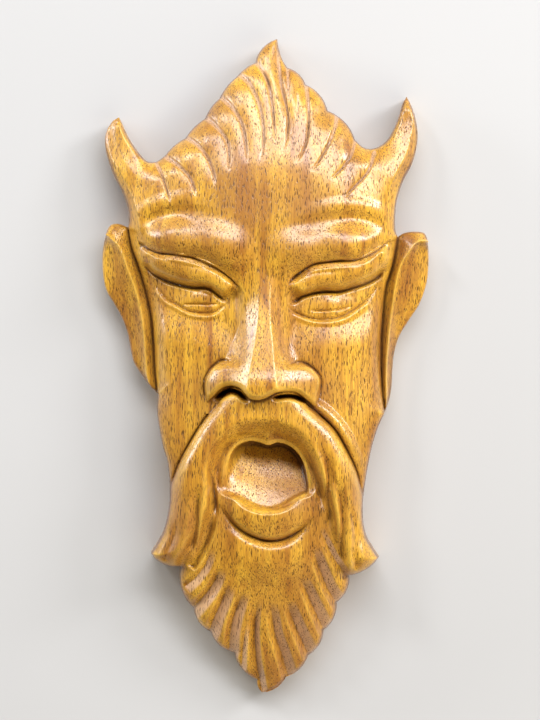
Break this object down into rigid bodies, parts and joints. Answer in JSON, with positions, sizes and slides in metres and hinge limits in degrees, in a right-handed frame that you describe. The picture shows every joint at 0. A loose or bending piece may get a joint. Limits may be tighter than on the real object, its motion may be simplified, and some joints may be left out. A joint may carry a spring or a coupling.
{
  "type": "satyr mask",
  "caption": "Carved hardwood mask of a bearded satyr with a flame-shaped crest, curved horns, pointed ears, open mouth and flat back.",
  "frame": {"origin": "centre of the flat back, at the middle of the mask's height and width", "axes": "+Z out of the face, +Y to the tip of the crest, +X to the right as the face is looked at"},
  "size_m": [0.11, 0.22, 0.0333],
  "materials": {
    "oiled_wood": "satin varnish over golden brown open-pored hardwood"
  },
  "bodies": {
    "root": {"satyr_mask": "oiled_wood"}
  },
  "joints": []
}
